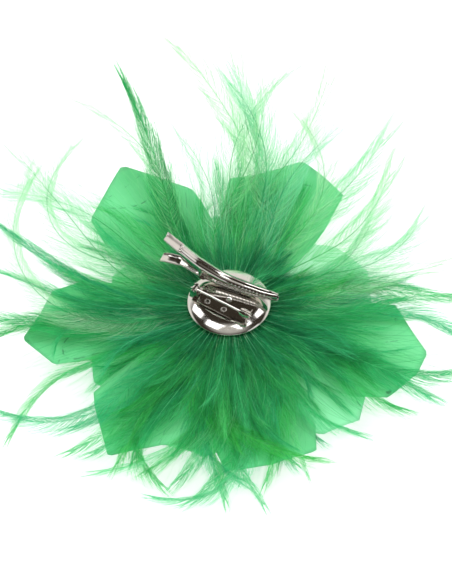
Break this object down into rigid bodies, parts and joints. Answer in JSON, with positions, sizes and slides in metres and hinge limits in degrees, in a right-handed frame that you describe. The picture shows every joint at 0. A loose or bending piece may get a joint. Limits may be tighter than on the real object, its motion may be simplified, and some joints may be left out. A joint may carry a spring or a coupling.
{
  "type": "feather flower fascinator",
  "caption": "Feather and fabric flower headpiece on a round metal back plate with a spring hair clip, and a brooch pin with a turning safety catch beside it.",
  "frame": {"origin": "middle of the flat front face of the centre button, on the surface that the flower lies on", "axes": "+Z out of the flower's back, through the middle of the back plate; +X along the hair clip towards the tips of its jaws"},
  "size_m": [0.2315, 0.2223, 0.0703],
  "materials": {
    "chrome": "bright plating",
    "spring_steel": "plain drawn wire",
    "solder": "dull",
    "hot_glue": "cloudy, set from a melt",
    "felt": "pressed felt",
    "button_satin": "satin over a button form",
    "petal_fabric": "thin translucent satin, edges cut hot",
    "feather": "dyed cock hackle with down at the root"
  },
  "bodies": {
    "flower": {"back_plate": "chrome", "brooch_bar": "chrome", "brooch_rivet": "chrome", "clip_lower_jaw": "chrome", "clip_hinge_pin": "chrome", "clip_spring": "spring_steel", "clip_weld": "solder", "plate_glue": "hot_glue", "glue_core": "hot_glue", "backing_felt": "felt", "centre_button": "button_satin", "petal_back_1": "petal_fabric", "petal_back_2": "petal_fabric", "petal_back_3": "petal_fabric", "petal_back_4": "petal_fabric", "petal_back_5": "petal_fabric", "petal_back_6": "petal_fabric", "petal_mid_1": "petal_fabric", "petal_mid_2": "petal_fabric", "petal_mid_3": "petal_fabric", "petal_mid_4": "petal_fabric", "petal_mid_5": "petal_fabric", "petal_mid_6": "petal_fabric", "petal_front_1": "petal_fabric", "petal_front_2": "petal_fabric", "petal_front_3": "petal_fabric", "petal_front_4": "petal_fabric", "petal_front_5": "petal_fabric", "feather_upper_1": "feather", "feather_upper_2": "feather", "feather_upper_3": "feather", "feather_upper_4": "feather", "feather_upper_5": "feather", "feather_upper_6": "feather", "feather_upper_7": "feather", "feather_upper_8": "feather", "feather_upper_9": "feather", "feather_middle_1": "feather", "feather_middle_2": "feather", "feather_middle_3": "feather", "feather_middle_4": "feather", "feather_middle_5": "feather", "feather_middle_6": "feather", "feather_middle_7": "feather", "feather_middle_8": "feather", "feather_middle_9": "feather", "feather_lower_1": "feather", "feather_lower_2": "feather", "feather_lower_3": "feather", "feather_lower_4": "feather", "feather_lower_5": "feather", "feather_lower_6": "feather", "feather_lower_7": "feather", "feather_lower_8": "feather"},
    "clip_upper": {"clip_upper_jaw": "chrome"},
    "pin": {"brooch_pin": "chrome"},
    "catch": {"safety_catch": "chrome"}
  },
  "joints": [
    {"name": "clip_open", "type": "hinge", "parent": "flower", "child": "clip_upper", "pos_m": [-0.0135, 0.0062, 0.0352], "axis": [0, -1, 0], "range_deg": [0, 25], "stiffness_Nm_per_rad": 0.08, "springref_deg": -34.38, "deforming": ["clip_spring"]},
    {"name": "pin_swing", "type": "hinge", "parent": "flower", "child": "pin", "pos_m": [-0.01363, -0.00417, 0.03635], "axis": [-0.1564, -0.9877, 0], "range_deg": [0, 110]},
    {"name": "catch_turn", "type": "hinge", "parent": "flower", "child": "catch", "pos_m": [0.01066, -0.00802, 0.03635], "axis": [0.9877, -0.1564, 0], "range_deg": [0, 110]}
  ]
}
